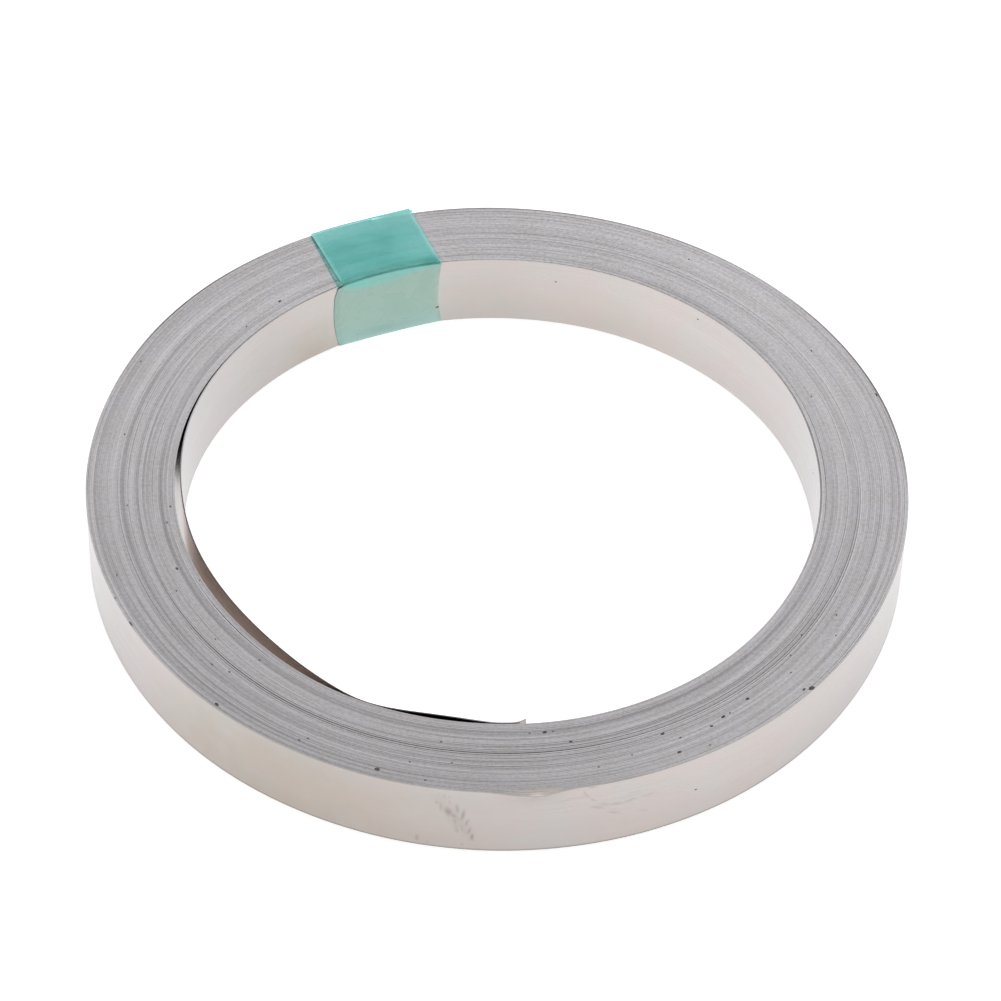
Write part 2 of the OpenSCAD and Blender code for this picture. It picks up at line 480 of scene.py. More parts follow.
U = np.concatenate([[0, 0.012], np.linspace(0.04, 0.96, 34), [0.988, 1.0]])
film_rows, film_marks = [], []
for u in U:
    pts, marks = [], []

    def add(p, z, pale=0.0, shadow_line=0.0, loose=0.0, solid=0.0, foot=0.0, grey=0.0, pale_foot=0.0):
        pts.append((p[0], p[1], z))
        marks.append((pale, shadow_line, loose, solid, foot, grey, pale_foot))

    lap = float(np.interp(u, [0, 0.05, 0.18, 0.31, 0.44, 0.54, 0.62, 0.79, 1.0], [0.10, 0.20, 0.78, 1.18, 1.27, 1.10, 0.86, 0.36, 0.16]))
    right_strip = float(smooth(u, 0.955, 0.975))
    left_line = 1.0 if u < 0.005 else 0.6 if u < 0.02 else 0.0
    wrinkle = 0.018 * math.sin(11 * u + 2) + 0.010 * math.sin(23 * u)
    low_in, low_out = lerp(*LOW_IN, u), lerp(*LOW_OUT, u)
    top_in, top_out = lerp(*TOP_IN, u), lerp(*TOP_OUT, u)
    wall_low = lerp(*WALL_LOW, u)
    rb = bore(low_in) - 0.03

    # lower layer: up the inner wall for a little, over the inner rim and out across the top
    for t in (1.0, 0.72, 0.44):
        add(polar(rb - 0.045 - 0.05 * t, low_in), STRIP_W - 0.10 - lap * t * 0.5, grey=right_strip)
    add(polar(rb - 0.045, low_in), STRIP_W - 0.06, grey=right_strip)
    # painted shadow along the lower layer's left edge
    add(polar(rb - 0.01, low_in), STRIP_W + 0.05, shadow_line=0.5 * left_line, grey=right_strip)
    add(polar(rb + 0.08, low_in), STRIP_W + 0.082, shadow_line=0.6 * left_line, grey=right_strip)
    r_end = float(np.interp(u, [0, 0.25, 0.5, 0.75, 0.9, 1.0], [39.93, 39.93, 40.00, 40.14, 40.28, 40.42]))
    r_rim = rim(low_out)
    r_end = max(r_end, r_rim + 0.06)
    out_by = max(0.0, r_end - 0.10 - r_rim)  # how far the fold stands off the rim
    p0, p1 = polar(rb + 0.08, low_in), polar(r_rim - 0.10, low_out)
    for t in np.linspace(0.06, 0.95, 15):
        add(lerp(p0, p1, t), STRIP_W + 0.082 + 0.006 * math.sin(40 * t + 9 * u), shadow_line=0.6 * left_line, grey=right_strip)
    # over the outer rim and down the outer wall
    add(polar(r_rim - 0.10, low_out), STRIP_W + 0.078)
    add(polar(r_rim + 0.01 + out_by * 0.9, low_out), STRIP_W + 0.06, solid=0.6 * min(1, out_by / 0.1))
    add(polar(r_rim + 0.05 + out_by, low_out), STRIP_W - 0.06, solid=0.6 * min(1, out_by / 0.1))
    for z in (7.4, 6.6, 5.6, 4.2, 2.8, 1.4, 0.5):
        add(polar(r_rim + 0.05 + out_by * float(smooth(z, 4.5, 8.0)) + 0.02 * math.sin(3 * z + 5 * u), low_out), z)
    add(polar(r_rim + 0.045, low_out), 0.12)
    add(polar(r_rim - 0.01, low_out), 0.04)
    # under the turns
    low_r = float(np.interp(u, [0, 0.2, 0.4, 0.6, 0.8, 1.0], [31.50, 31.31, 31.25, 31.29, 31.46, 31.72]))
    p0, p1 = polar(r_rim - 0.15, low_out), polar(low_r + 0.16, wall_low)
    for t in np.linspace(0.0, 1.0, 9):
        add(lerp(p0, p1, t), 0.031)
    add(polar(low_r + 0.03, wall_low), 0.045, foot=1.0, pale_foot=1.0)
    add(polar(low_r, wall_low), 0.14, foot=1.0, pale_foot=1.0)
    # up the inner wall, drawn straight across its hollow, and out to the round rim near the top
    for z in (0.35, 0.65, 1.0, 1.35, 1.7, 2.1, 2.6, 3.1, 3.9, 4.7, 5.4, 6.0, 6.5, 6.9, 7.25, 7.55, 7.8):
        t = z / STRIP_W
        left = np.interp(z, [0, 1.6, 3.2, 4.9, 6.7, 7.8, 8.0], [121.60, 122.22, 122.56, 122.62, 122.40, 121.7, 121.0])
        right = np.interp(z, [0, 1.2, 2.4, 3.7, 5.6, 7.8, 8.0], [101.35, 101.60, 101.98, 102.0, 101.88, 101.5, 101.55])
        side = lerp(left, right, u)
        near_top = float(smooth(z, STRIP_W - 0.15 - max(lap, 0.5), STRIP_W + 0.1))
        chord = low_r - 0.02 + 0.06 * t * (1 - u) + 0.015 * math.sin(9 * u + 3 * z)
        chord = lerp(chord, max(chord, bore(side) - 0.09), float(smooth(z, 0.15, 1.4)))
        r = lerp(chord, rb - 0.12, near_top)
        if u < 0.03 or u > 0.97:
            r = lerp(bore(side) - 0.045, rb - 0.08, near_top)
        # a lighter, more cyan band where the film's lap stands off the wall, with painted light where its fold faces
        # up
        band = float(smooth(z, STRIP_W - 0.45 - lap, STRIP_W + 0.05 - lap * 0.75)) * float(smooth(u, 0.0, 0.08))
        # painted shadow: darker lines down the wall sheet's left and right edges
        dark_end = 0.25 * float(u > 0.985) * float(z < 1.6 or z > 6.8) + 0.10 * left_line + 0.12 * float(u < 0.05)
        add(polar(r, side), z, pale=0.10 * band, shadow_line=dark_end, loose=band, foot=1.0, pale_foot=float(1 - smooth(z, 0.2, 2.4)), grey=right_strip)
    # upper layer: over the inner rim and out across the lower layer to its cut end
    # painted shadow along the upper layer's fold over the inner rim
    edge = 0.18 + 0.22 * float(smooth(u, 0.38, 0.52)) + 0.60 * float(smooth(u, 0.72, 0.92)) + 0.3 * float(hump(u, 0.0, 0.10))
    add(polar(rb - 0.11, top_in), STRIP_W - 0.02, loose=0.8, foot=1.0)
    add(polar(rb - 0.06, top_in), STRIP_W + 0.09, shadow_line=0.25 * edge, loose=0.4)
    add(polar(rb + 0.03, top_in), STRIP_W + 0.145, shadow_line=edge)
    add(polar(rb + 0.10, top_in), STRIP_W + 0.150, shadow_line=edge * 0.12)
    add(polar(rb + 0.36, lerp(top_in, top_out, 0.04)), STRIP_W + 0.150)
    z_end = STRIP_W + 0.150 + 0.03 * float(smooth(u, 0.6, 1.0))
    p0, p1 = polar(rb + 0.36, lerp(top_in, top_out, 0.04)), polar(r_end, top_out)
    t_rim = min(0.985, (r_rim - rb - 0.36) / (r_end - rb - 0.36))
    for t in [*np.linspace(0.05, t_rim, 20), t_rim + 0.3 * (1 - t_rim), 1.0]:
        z = lerp(STRIP_W + 0.150, z_end, float(smooth(t, 0.8, 1.0)))
        z += wrinkle * math.sin(math.pi * t) * 0.3 + 0.006 * math.sin(9 * t + 6 * u) * math.sin(math.pi * t)
        pale = 0.30 + float(smooth(t, 0.50, 0.95)) * (0.53 + 0.04 * math.sin(9 * u) - 0.08 * u) + 0.37 * float(smooth(u, 0.55, 0.92) * smooth(t, 0.02, 0.20) * (1 - 0.85 * smooth(t, 0.40, 0.85)))
        add(lerp(p0, p1, t), z, pale=min(1.0, pale + 0.25 * right_strip + 0.6 * left_line), solid=0.9 if t > t_rim + 0.001 else 0.0)
    film_rows.append(pts)
    film_marks.append(marks)

grid = np.array(film_rows)  # across, along, xyz
du = np.gradient(grid, axis=0)
dv = np.gradient(grid, axis=1)
nrm = np.cross(du, dv)
nrm /= np.linalg.norm(nrm, axis=2)[:, :, None]
nu, nv = grid.shape[:2]
front = (grid + nrm * FILM_T * 0.42).reshape(-1, 3)
back = (grid - nrm * FILM_T * 0.42).reshape(-1, 3)
fverts = np.concatenate([front, back]) * MM
N = nu * nv


def at(i, j, side=0):
    return side * N + i * nv + j


ffaces = []
for i in range(nu - 1):
    for j in range(nv - 1):
        ffaces.append([at(i, j), at(i + 1, j), at(i + 1, j + 1), at(i, j + 1)])
        ffaces.append([at(i, j, 1), at(i, j + 1, 1), at(i + 1, j + 1, 1), at(i + 1, j, 1)])
for j in range(nv - 1):
    ffaces.append([at(0, j), at(0, j + 1), at(0, j + 1, 1), at(0, j, 1)])
    ffaces.append([at(nu - 1, j), at(nu - 1, j, 1), at(nu - 1, j + 1, 1), at(nu - 1, j + 1)])
for i in range(nu - 1):
    ffaces.append([at(i, 0), at(i, 0, 1), at(i + 1, 0, 1), at(i + 1, 0)])
    ffaces.append([at(i, nv - 1), at(i + 1, nv - 1), at(i + 1, nv - 1, 1), at(i, nv - 1, 1)])
fmesh = bpy.data.meshes.new("green_film_band")
fmesh.from_pydata([tuple(v) for v in fverts], [], ffaces)
fmesh.polygons.foreach_set("use_smooth", np.ones(len(ffaces), bool))
marks = np.array(film_marks)
marks = marks.reshape(-1, 7)
for k, mark_name in enumerate(("pale", "shadow_line", "loose", "solid", "foot", "grey", "pale_foot")):
    put(mark_name, np.tile(marks[:, k], 2), fmesh)
fmesh.set_sharp_from_angle(angle=math.radians(50))
fmesh.validate()
film = new_object("green_film_band", fmesh)


# ---------------------------------------------------------------- specks of dirt
# (azimuth, radius, size) on the upper face, then (azimuth, height, size, inner or outer wall)
TOP_SPECKS = [
    (22.6, 33.32, 1), (32.1, 36.69, 1), (59.9, 37.79, 1), (132.3, 33.25, 2), (140.9, 32.91, 1),
    (156.9, 38.72, 1), (172.6, 36.64, 1), (188.1, 35.6, 1), (189.1, 31.62, 1), (192.9, 32.25, 1), (202.0, 38.3, 1),
    (203.9, 32.74, 2), (206.1, 39.4, 1), (208.0, 31.43, 1), (208.5, 33.81, 1), (220.9, 34.04, 1),
    (224.6, 36.24, 1), (227.5, 35.79, 1), (229.1, 32.81, 1), (230.5, 39.4, 2), (243.4, 38.63, 1), (244.3, 38.03, 1),
    (255.1, 39.11, 3), (259.0, 37.4, 1), (261.7, 39.4, 1), (262.7, 34.47, 1), (264.8, 36.85, 1),
    (276.3, 33.12, 1), (278.7, 33.13, 2), (280.0, 33.1, 1), (282.3, 34.67, 2), (285.1, 38.13, 1), (290.2, 37.44, 1),
    (295.8, 36.2, 2), (296.5, 38.79, 2), (297.8, 37.18, 1), (300.7, 39.27, 1), (302.8, 37.4, 2), (305.2, 36.92, 2),
    (306.4, 36.9, 1), (310.2, 36.46, 2), (317.3, 39.17, 2), (318.5, 36.92, 1), (318.3, 39.5, 3), (321.2, 35.59, 1),
    (325.7, 34.93, 1), (328.5, 37.53, 1), (332.2, 36.42, 1),
]
WALL_SPECKS = [(51.5, 6.86, 1, "in"), (80.2, 5.61, 1, "in"), (9.1, 5.09, 1, "in"), (298.2, 3.66, 1, "out")]
r77 = np.random.default_rng(77)
sverts, sfaces = [], []


def flake(centre, along, across, up, size, longer=1.35):
    """A small irregular crumb, a little longer along the strip, set down on the surface."""
    n = 7
    start = len(sverts)
    ang = np.linspace(0, 2 * math.pi, n, endpoint=False) + r77.uniform(0, 1)
    wob = r77.uniform(0.7, 1.25, n)
    for level, grow in ((-0.02, 1.0), (0.014, 0.9), (0.026, 0.5)):
        for t, w in zip(ang, wob):
            q = centre + along * (math.cos(t) * w * size * longer * grow) + across * (math.sin(t) * w * size * 0.8 * grow) + up * level
            sverts.append(tuple(q * MM))
    for lv in range(2):
        for k in range(n):
            m_ = (k + 1) % n
            sfaces.append([start + lv * n + k, start + lv * n + m_, start + (lv + 1) * n + m_, start + (lv + 1) * n + k])
    sfaces.append([start + 2 * n + k for k in range(n)])
    sfaces.append([start + k for k in reversed(range(n))])


SIZES = {1: 0.095, 2: 0.18, 3: 0.29}
TICKS = [(211.4, 39.44, 0.12, 4.0), (278.7, 33.13, 0.09, 3.0), (19.7, 39.47, 0.10, 2.6)]  # azimuth, radius, size, how much longer
for az, r, kind in TOP_SPECKS:
    near = np.abs((azimuth - az + 180) % 360 - 180) < 0.9
    i = np.where(near)[0][np.argmin(np.abs(radius[near] - r))]
    c = np.array([*polar(radius[i], az), STRIP_W + lift[i] - 0.002])
    t = math.radians(az)
    flake(c, np.array([-math.sin(t), math.cos(t), 0]), np.array([math.cos(t), math.sin(t), 0]), np.array([0, 0, 1.0]), SIZES[kind] * r77.uniform(0.85, 1.15))
for az, r, size, longer in TICKS:
    near = np.abs((azimuth - az + 180) % 360 - 180) < 0.9
    i = np.where(near)[0][np.argmin(np.abs(radius[near] - r))]
    t = math.radians(az)
    flake(np.array([*polar(radius[i], az), STRIP_W + lift[i] - 0.002]), np.array([-math.sin(t), math.cos(t), 0]), np.array([math.cos(t), math.sin(t), 0]), np.array([0, 0, 1.0]), size, longer)
for az, z, kind, side in WALL_SPECKS:
    near = (np.abs((azimuth - az + 180) % 360 - 180) < 0.9) & ((turn > TURNS - 1) if side == "out" else (turn < 1.3))
    i = np.where(near)[0][0 if side == "in" else -1]
    sign = -1.0 if side == "in" else 1.0
    t = math.radians(az)
    c = np.array([*polar(radius[i] + sign * half_t[i], az), z])
    flake(c, np.array([-math.sin(t), math.cos(t), 0]) * -sign, np.array([0, 0, 1.0]), np.array([math.cos(t), math.sin(t), 0]) * sign, SIZES[kind])
c = np.array([*polar(bore(102.15) - 0.115, 102.15), 2.05])
t = math.radians(102.45)
flake(c, np.array([math.sin(t), -math.cos(t), 0]), np.array([0, 0, 1.0]), np.array([-math.cos(t), -math.sin(t), 0]), 0.085, 2.6)
smesh = bpy.data.meshes.new("dirt_specks")
smesh.from_pydata(sverts, [], sfaces)
smesh.polygons.foreach_set("use_smooth", np.ones(len(sfaces), bool))
smesh.validate()
specks = new_object("dirt_specks", smesh)


# ---------------------------------------------------------------- materials
def material(name):
    m = bpy.data.materials.new(name)
    m.use_nodes = True
    nt = m.node_tree
    nt.nodes.clear()
    o = nt.nodes.new("ShaderNodeOutputMaterial")
    return m, nt, o


def node(nt, kind, inputs=None, **props):
    n = nt.nodes.new(kind)
    for k, v in props.items():
        setattr(n, k, v)
    for k, v in (inputs or {}).items():
        s = n.inputs[k]
        if isinstance(v, bpy.types.NodeSocket):
            nt.links.new(v, s)
        else:
            s.default_value = v
    return n


def attr(nt, name):
    return node(nt, "ShaderNodeAttribute", attribute_name=name, attribute_type="GEOMETRY").outputs["Fac"]


def math_node(nt, op, a, b=None, clamp=False):
    ins = {0: a}
    if b is not None:
        ins[1] = b
    return node(nt, "ShaderNodeMath", ins, operation=op, use_clamp=clamp).outputs[0]


def mix(nt, fac, a, b, blend="MIX"):
    n = nt.nodes.new("ShaderNodeMix")
    n.data_type = "RGBA"
    n.blend_type = blend
    for s, v in ((n.inputs[0], fac), (n.inputs[6], a), (n.inputs[7], b)):
        if isinstance(v, bpy.types.NodeSocket):
            nt.links.new(v, s)
        elif isinstance(v, (int, float)):
            s.default_value = v
        else:
            s.default_value = (*v, 1.0)
    return n.outputs[2]


def ramp(nt, fac, lo, hi, a=0.0, b=1.0):
    return node(nt, "ShaderNodeMapRange", {"Value": fac, "From Min": lo, "From Max": hi, "To Min": a, "To Max": b}).outputs[0]


def noise(nt, vector, scale, detail=3.0, rough=0.5, distortion=0.0):
    return node(
        nt, "ShaderNodeTexNoise",
        {"Vector": vector, "Scale": scale, "Detail": detail, "Roughness": rough, "Distortion": distortion},
    ).outputs["Fac"]


def noise_colour(nt, vector, scale):
    return node(nt, "ShaderNodeTexNoise", {"Vector": vector, "Scale": scale, "Detail": 2.0}).outputs["Color"]


# Strokes on the outer wall: azimuth and height of both ends, half width in mm, depth of tone
STROKES = [
    (263.68, 7.33, 263.68, 6.85, 0.086, 0.30), (264.30, 7.20, 264.37, 6.93, 0.124, 0.40), (265.04, 7.27, 265.08, 6.87, 0.086, 0.25),
    (263.21, 6.18, 263.42, 6.07, 0.114, 0.50), (265.09, 6.46, 265.15, 6.26, 0.095, 0.35), (263.92, 6.33, 264.01, 4.97, 0.135, 0.50),
    (264.81, 5.50, 265.00, 4.60, 0.229, 0.90), (265.33, 4.90, 266.00, 4.20, 0.190, 0.80), (266.01, 6.12, 266.12, 4.90, 0.124, 0.80),
    (267.00, 5.49, 266.64, 3.85, 0.124, 0.85), (267.61, 4.19, 267.24, 3.20, 0.114, 0.70), (267.89, 3.03, 267.32, 2.09, 0.114, 0.65),
    (268.10, 2.28, 268.05, 1.44, 0.124, 0.75), (265.73, 4.30, 265.88, 3.23, 0.130, 0.60), (265.88, 3.23, 266.09, 2.20, 0.120, 0.55),
    (266.55, 3.60, 266.74, 2.33, 0.120, 0.50), (265.90, 4.60, 266.50, 3.60, 0.150, 0.45), (260.87, 1.22, 260.74, 0.64, 0.124, 0.55), (262.12, 0.57, 262.18, 0.44, 0.095, 0.25),
    (266.76, 0.80, 266.80, 0.52, 0.095, 0.30), (264.80, 5.75, 267.58, 2.11, 0.560, 0.26), (263.40, 7.00, 264.60, 5.40, 0.400, 0.16),
    (282.41, 7.49, 283.12, 6.40, 0.095, 0.42), (283.12, 6.40, 284.19, 5.77, 0.095, 0.42), (284.35, 5.36, 286.13, 5.11, 0.150, 0.38),
    (286.13, 5.11, 287.62, 4.99, 0.150, 0.38), (287.62, 4.99, 289.92, 5.18, 0.140, 0.33), (289.92, 5.18, 292.23, 5.20, 0.130, 0.26),
    (283.18, 5.32, 285.13, 4.62, 0.140, 0.46), (285.61, 4.06, 287.57, 3.50, 0.120, 0.38), (290.03, 3.40, 291.30, 2.91, 0.105, 0.25),
    # the first two strokes on the next line are painted shade: the dark line under the knocked lip
    (275.50, 7.80, 276.70, 7.79, 0.095, 1.00), (276.59, 7.81, 278.26, 7.84, 0.080, 0.70), (282.90, 7.93, 284.10, 7.93, 0.055, 0.70),
]


def run_at(az):
    """Length along the strip, in metres, of the point at this azimuth on the outer wall."""
    return float(np.interp(360.0 * TURNS + TIP_AZ - az, theta, run)) * MM


def strip_material(name, edge, marked=False):
    m, nt, o = material(name)
    tc = node(nt, "ShaderNodeTexCoord").outputs["Object"]
    xyz = node(nt, "ShaderNodeSeparateXYZ", {0: tc})
    along = attr(nt, "run")
    turn_ = attr(nt, "turn")
    flat = node(nt, "ShaderNodeCombineXYZ", {0: along, 1: xyz.outputs[2], 2: 0.0}).outputs[0]
    if edge:
        # slit edge: a grey, slightly cool cut, each turn with its own tone
        lane = node(nt, "ShaderNodeCombineXYZ", {0: math_node(nt, "MULTIPLY", along, 70.0), 1: math_node(nt, "MULTIPLY", turn_, 3.0), 2: 0.0}).outputs[0]
        per_turn = noise(nt, lane, 1.0, 2.0, 0.6)
        grain = noise(nt, tc, 3000.0, 2.0, 0.6)
        blotch = noise(nt, tc, 260.0, 3.0, 0.55)
        c = mix(nt, attr(nt, "tone"), (0.385, 0.375, 0.388), (0.580, 0.568, 0.584))
        # painted light and shade round the coil, from the even mark
        c = mix(nt, attr(nt, "even"), mix(nt, 1.0, c, (0.85, 0.85, 0.85), "MULTIPLY"), mix(nt, 1.0, c, (1.15, 1.15, 1.15), "MULTIPLY"))
        c = mix(nt, ramp(nt, per_turn, 0.35, 0.65), c, (0.90, 0.90, 0.905), "MULTIPLY")
        c = mix(nt, ramp(nt, grain, 0.38, 0.62, 0.0, 0.28), c, (0.72, 0.72, 0.73), "MULTIPLY")
        c = mix(nt, ramp(nt, blotch, 0.4, 0.7, 0.0, 0.5), c, (0.94, 0.91, 0.88), "MULTIPLY")
        c = mix(nt, math_node(nt, "MULTIPLY", attr(nt, "knocked"), ramp(nt, blotch, 0.35, 0.65, 0.5, 1.0)), c, (0.530, 0.460, 0.425))
        # painted highlight: a cream glint on the outermost rim at the knock
        c = mix(nt, math_node(nt, "MULTIPLY", attr(nt, "glint"), 0.75), c, (0.70, 0.63, 0.585))
        # painted shade, near black, on the free end's slit edge and along the inner rim, with the dark line along the
        # outer rim
        c = mix(nt, math_node(nt, "MULTIPLY", attr(nt, "shade"), 0.88), c, (0.075, 0.062, 0.056))
        # painted shade: bevels next to the rolled faces darkened so that they catch less light
        c = mix(nt, attr(nt, "flank"), c, (0.70, 0.68, 0.66), "MULTIPLY")
        # painted shade: near black on faces shut between turns
        c = mix(nt, attr(nt, "shut"), c, (0.045, 0.040, 0.038))
        rough = ramp(nt, grain, 0.3, 0.7, 0.38, 0.55)
        bump_in, strength, dist = grain, 0.22, 0.00002
    else:
        # rolled face: bright and warm, with fine lines along the strip
        lines_v = node(nt, "ShaderNodeMapping", {"Vector": flat, "Scale": (60.0, 9000.0, 1.0)}).outputs[0]
        lines = noise(nt, lines_v, 1.0, 3.0, 0.6)
        broad = node(nt, "ShaderNodeMapping", {"Vector": flat, "Scale": (30.0, 500.0, 1.0)}).outputs[0]
        bands = noise(nt, broad, 1.0, 2.0, 0.5)
        cloud = noise(nt, tc, 190.0, 3.0, 0.55, 0.4)
        cloud2 = noise(nt, tc, 520.0, 4.0, 0.6)
        c = mix(nt, ramp(nt, cloud, 0.40, 0.60), (0.575, 0.518, 0.505), (0.555, 0.530, 0.515))
        # painted reflection: cooler, more neutral walls at the left and right, where they are seen at a grazing angle
        c = mix(nt, math_node(nt, "MULTIPLY", attr(nt, "cool"), 0.8), c, (0.585, 0.572, 0.592))
        # painted light and shade round the coil, from the even mark
        c = mix(nt, attr(nt, "even"), mix(nt, 1.0, c, (0.89, 0.89, 0.89), "MULTIPLY"), mix(nt, 1.0, c, (1.21, 1.21, 1.21), "MULTIPLY"))
        c = mix(nt, ramp(nt, bands, 0.35, 0.65, 0.0, 0.35), c, (0.94, 0.94, 0.94), "MULTIPLY")
        c = mix(nt, ramp(nt, lines, 0.35, 0.7, 0.0, 0.22), c, (0.88, 0.87, 0.86), "MULTIPLY")
        stain_ = math_node(nt, "MULTIPLY", attr(nt, "stain"), ramp(nt, cloud2, 0.30, 0.66, 0.55, 1.0))
        c = mix(nt, math_node(nt, "MULTIPLY", stain_, 0.62), c, (0.475, 0.418, 0.352))
        if marked:
            # rubbed marks and a greasy smear, stroke by stroke, and painted shade as a dark line under the knocked lip
            wob = node(nt, "ShaderNodeVectorMath", {0: noise_colour(nt, tc, 900.0), 1: (0.5, 0.5, 0.5)}, operation="SUBTRACT").outputs[0]
            wob = node(nt, "ShaderNodeVectorMath", {0: wob, "Scale": 0.00045}, operation="SCALE").outputs[0]
            near = node(nt, "ShaderNodeVectorMath", {0: flat, 1: wob}, operation="ADD").outputs[0]
            near = node(nt, "ShaderNodeVectorMath", {0: near, 1: (1, 1, 0)}, operation="MULTIPLY").outputs[0]
            dark = None
            for az1, z1, az2, z2, half_w, depth in STROKES:
                p, q = np.array([run_at(az1), z1 * MM]), np.array([run_at(az2), z2 * MM])
                mid, d = (p + q) / 2, q - p
                soft_w = half_w * MM * 2.1
                m_ = node(
                    nt, "ShaderNodeMapping",
                    {"Vector": near, "Location": (mid[0], mid[1], 0), "Rotation": (0, 0, math.atan2(d[1], d[0])),
                     "Scale": (float(np.hypot(*d)) / 2 + soft_w, soft_w, 1.0)},
                    vector_type="TEXTURE",
                ).outputs[0]
                g = node(nt, "ShaderNodeTexGradient", {"Vector": m_}, gradient_type="SPHERICAL").outputs["Fac"]
                g = ramp(nt, g, 0.0, 0.8, 0.0, depth)
                dark = g if dark is None else math_node(nt, "MAXIMUM", dark, g)
            dark = math_node(nt, "MULTIPLY", dark, ramp(nt, cloud2, 0.35, 0.6, 0.7, 1.0))
            c = mix(nt, dark, c, (0.62, 0.58, 0.565), "MULTIPLY")
        # fine scratches near the knock
        scr_v = node(nt, "ShaderNodeMapping", {"Vector": flat, "Scale": (260.0, 2600.0, 1.0), "Rotation": (0, 0, -0.22)}).outputs[0]
        scr = noise(nt, scr_v, 1.0, 2.0, 0.4)
        scratch = math_node(nt, "MULTIPLY", attr(nt, "scuff"), ramp(nt, scr, 0.60, 0.68))
        c = mix(nt, math_node(nt, "MULTIPLY", scratch, 0.40), c, (0.44, 0.38, 0.35))
        # brownish tint over the bent rim at the knock
        c = mix(nt, math_node(nt, "MULTIPLY", attr(nt, "knocked"), ramp(nt, cloud2, 0.35, 0.6, 0.1, 0.4)), c, (0.50, 0.43, 0.39))
        # a dark line along the lower edge of the outer wall
        c = mix(nt, math_node(nt, "MULTIPLY", attr(nt, "outer"), ramp(nt, xyz.outputs[2], 0.00010, 0.00024, 0.85, 0.0)), c, (0.30, 0.27, 0.25))
        # painted shade, painted light and a painted highlight on the faces across the gap behind the free end
        c = mix(nt, attr(nt, "gap_shade"), c, (0.16, 0.145, 0.135))
        c = mix(nt, attr(nt, "lit"), c, mix(nt, attr(nt, "bright"), (0.76, 0.685, 0.645), (1.0, 0.965, 0.965)))
        # painted shade: near black on faces shut between turns
        c = mix(nt, attr(nt, "shut"), c, (0.045, 0.040, 0.038))
        rough = math_node(nt, "ADD", ramp(nt, lines, 0.3, 0.7, 0.26, 0.34), math_node(nt, "MULTIPLY", stain_, 0.10))
        polish = math_node(nt, "MULTIPLY", attr(nt, "lit"), attr(nt, "bright"))
        rough = math_node(nt, "MULTIPLY", rough, ramp(nt, polish, 0.0, 1.0, 1.0, 0.3))
        bump_in, strength, dist = lines, 0.15, 0.00001
    bump = node(nt, "ShaderNodeBump", {"Strength": strength, "Distance": dist, "Height": bump_in}).outputs[0]
    b = node(nt, "ShaderNodeBsdfPrincipled", {"Base Color": c, "Metallic": 1.0, "Roughness": rough, "Normal": bump})
    nt.links.new(b.outputs[0], o.inputs[0])
    return m


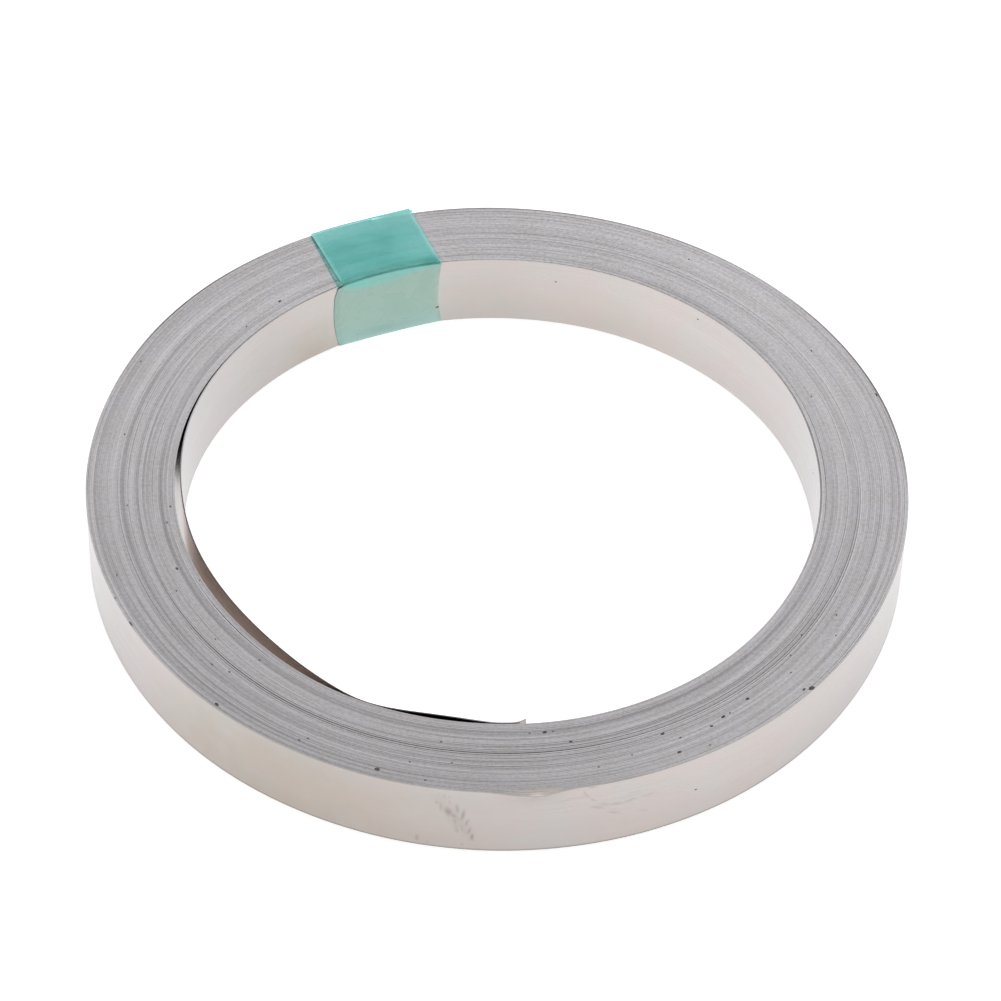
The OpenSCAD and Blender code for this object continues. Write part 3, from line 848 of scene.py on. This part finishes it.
def film_material():
    m, nt, o = material("green_film")
    tc = node(nt, "ShaderNodeTexCoord").outputs["Object"]
    streak_v = node(nt, "ShaderNodeMapping", {"Vector": tc, "Rotation": (0, 0, math.radians(-24)), "Scale": (110.0, 800.0, 110.0)}).outputs[0]
    streak = noise(nt, streak_v, 1.0, 3.0, 0.55)
    cloud = noise(nt, tc, 380.0, 3.0, 0.55, 0.5)
    pale, shadow_line = attr(nt, "pale"), attr(nt, "shadow_line")
    tint = mix(nt, ramp(nt, cloud, 0.35, 0.65), (0.870, 0.980, 0.959), (0.895, 0.991, 0.974))
    tint = mix(nt, ramp(nt, streak, 0.42, 0.68, 0.0, 0.45), tint, (0.925, 0.972, 0.966), "MULTIPLY")
    wall = node(nt, "ShaderNodeSeparateXYZ", {0: tc}).outputs[2]
    tint = mix(nt, ramp(nt, wall, 0.0072, 0.0078, 0.08, 0.0), tint, (0.90, 0.86, 0.86), "MULTIPLY")
    # lighter, more cyan where the film's lap stands off the wall, with painted light along its fold
    tint = mix(nt, attr(nt, "loose"), tint, (0.885, 1.0, 0.998))
    tint = mix(nt, attr(nt, "grey"), tint, (0.950, 0.990, 0.985))
    # painted shadow lines along the film's folds and edges
    tint = mix(nt, shadow_line, tint, (0.74, 0.86, 0.86), "MULTIPLY")
    body = mix(nt, ramp(nt, cloud, 0.35, 0.65), (0.090, 0.870, 0.890), (0.130, 0.920, 0.950))
    body = mix(nt, pale, body, (0.480, 0.960, 0.940))
    body = mix(nt, attr(nt, "solid"), body, (0.230, 0.640, 0.610))
    body = mix(nt, shadow_line, body, (0.030, 0.200, 0.200))
    # the wall sheet is drawn nearly opaque, in a colour that stands in for the metal wall seen through the film (a
    # painted reflection), with painted light making it lighter towards the bottom
    matt = mix(nt, attr(nt, "pale_foot"), mix(nt, ramp(nt, cloud, 0.35, 0.65), (0.390, 0.582, 0.512), (0.420, 0.608, 0.538)), (0.430, 0.668, 0.622))
    matt = mix(nt, ramp(nt, streak, 0.42, 0.68, 0.0, 0.5), matt, (0.94, 0.96, 0.95), "MULTIPLY")
    matt = mix(nt, math_node(nt, "MULTIPLY", attr(nt, "loose"), ramp(nt, cloud, 0.3, 0.6, 0.55, 1.0)), matt, (0.235, 0.650, 0.590))
    matt = mix(nt, math_node(nt, "MULTIPLY", attr(nt, "grey"), 0.6), matt, (0.560, 0.610, 0.580))
    matt = mix(nt, shadow_line, matt, (0.200, 0.330, 0.300))
    body = mix(nt, attr(nt, "foot"), body, matt)
    through = node(nt, "ShaderNodeBsdfTransparent", {"Color": tint})
    skin_ = node(
        nt, "ShaderNodeBsdfPrincipled",
        {"Base Color": body, "Roughness": ramp(nt, cloud, 0.3, 0.7, 0.22, 0.34), "Specular IOR Level": 0.5,
         "Normal": node(nt, "ShaderNodeBump", {"Strength": 0.12, "Distance": 0.00002, "Height": streak}).outputs[0]},
    )
    share = math_node(nt, "ADD", math_node(nt, "MULTIPLY", pale, 0.42), math_node(nt, "MULTIPLY", streak, 0.05))
    share = math_node(nt, "ADD", share, math_node(nt, "MULTIPLY", attr(nt, "solid"), 0.75))
    share = math_node(nt, "ADD", share, math_node(nt, "MULTIPLY", attr(nt, "foot"), 0.95), clamp=True)
    s = node(nt, "ShaderNodeMixShader", {0: share, 1: through.outputs[0], 2: skin_.outputs[0]})
    nt.links.new(s.outputs[0], o.inputs[0])
    return m


def dirt_material():
    m, nt, o = material("dirt")
    tc = node(nt, "ShaderNodeTexCoord").outputs["Object"]
    n1 = noise(nt, tc, 9000.0, 2.0, 0.6)
    c = mix(nt, ramp(nt, n1, 0.3, 0.7), (0.030, 0.026, 0.028), (0.110, 0.098, 0.095))
    bump = node(nt, "ShaderNodeBump", {"Strength": 0.5, "Distance": 0.00002, "Height": n1}).outputs[0]
    b = node(nt, "ShaderNodeBsdfPrincipled", {"Base Color": c, "Roughness": ramp(nt, n1, 0.3, 0.7, 0.55, 0.75), "Normal": bump})
    nt.links.new(b.outputs[0], o.inputs[0])
    return m


faces_mat = strip_material("nickel_rolled_face", False)
edges_mat = strip_material("nickel_slit_edge", True)
mesh.materials.append(faces_mat)
mesh.materials.append(edges_mat)
mesh.materials.append(strip_material("nickel_rolled_face_marked", False, True))
fmesh.materials.append(film_material())
smesh.materials.append(dirt_material())
for node_name in ("strip_coil", "tape_band"):
    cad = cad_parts[node_name]
    cad.data.materials.clear()
    cad.data.materials.append(faces_mat if node_name == "strip_coil" else fmesh.materials[0])

# ---------------------------------------------------------------- riding and standing for the frame
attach(coil, "root")
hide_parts("strip_coil")
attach(film, "root")
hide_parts("tape_band")
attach(specks, "root")

# ---------------------------------------------------------------- floor, light and camera
floor_mesh = bpy.data.meshes.new("floor")
floor_mesh.from_pydata([(-3, -3, 0), (3, -3, 0), (3, 3, 0), (-3, 3, 0)], [], [(0, 1, 2, 3)])
floor = new_object("floor", floor_mesh)
fm, fnt, fo = material("pale_floor")
fb = node(
    fnt, "ShaderNodeBsdfPrincipled",
    {"Base Color": (0.93, 0.93, 0.93, 1), "Roughness": 0.9, "Specular IOR Level": 0.2,
     "Emission Color": (1, 1, 1, 1), "Emission Strength": 0.55},
)
fnt.links.new(fb.outputs[0], fo.inputs[0])
floor_mesh.materials.append(fm)

world = bpy.data.worlds.new("studio")
scene.world = world
world.use_nodes = True
wnt = world.node_tree
wnt.nodes.clear()
wo = wnt.nodes.new("ShaderNodeOutputWorld")
bg = node(wnt, "ShaderNodeBackground", {"Color": (1.0, 0.995, 0.985, 1), "Strength": 0.52})
wnt.links.new(bg.outputs[0], wo.inputs[0])


def softbox(name, place, aim, size, watts, colour=(1, 1, 1)):
    d = bpy.data.lights.new(name, "AREA")
    d.shape, d.size, d.size_y, d.energy, d.color = "RECTANGLE", size[0], size[1], watts, colour
    o = bpy.data.objects.new(name, d)
    scene.collection.objects.link(o)
    o.location = place
    o.rotation_mode = "QUATERNION"
    o.rotation_quaternion = (Vector(aim) - Vector(place)).to_track_quat("-Z", "Y")
    return o


softbox("overhead", (0.0, 0.05, 0.75), (0, 0, 0), (0.9, 0.9), 1.6)
softbox("back_box", (0.12, 0.78, 0.40), (0, 0, 0), (0.9, 0.5), 2.2)

P = np.array([0.391956 + SHIFT[0], -288.212112 + SHIFT[1], 291.607386]) * MM
el, roll = math.radians(44.8347), math.radians(1.57964)
F = Vector((0, math.cos(el), -math.sin(el)))
Rt = Vector((1, 0, 0))
Up = Vector((0, math.sin(el), math.cos(el)))
R2 = math.cos(roll) * Rt + math.sin(roll) * Up
U2 = -math.sin(roll) * Rt + math.cos(roll) * Up
cam_data = bpy.data.cameras.new("camera")
cam_data.sensor_fit = "HORIZONTAL"
cam_data.sensor_width = 36.0
cam_data.lens = 4186.396 * 36.0 / 1001.0
cam_data.clip_start, cam_data.clip_end = 0.01, 20.0
cam = bpy.data.objects.new("camera", cam_data)
scene.collection.objects.link(cam)
cam.matrix_world = Matrix(
    ((R2.x, U2.x, -F.x, P[0]), (R2.y, U2.y, -F.y, P[1]), (R2.z, U2.z, -F.z, P[2]), (0, 0, 0, 1))
)
scene.camera = cam
scene.view_settings.view_transform = "Standard"
scene.view_settings.look = "None"
scene.cycles.max_bounces = 28
scene.cycles.glossy_bounces = 24
scene.cycles.transparent_max_bounces = 32
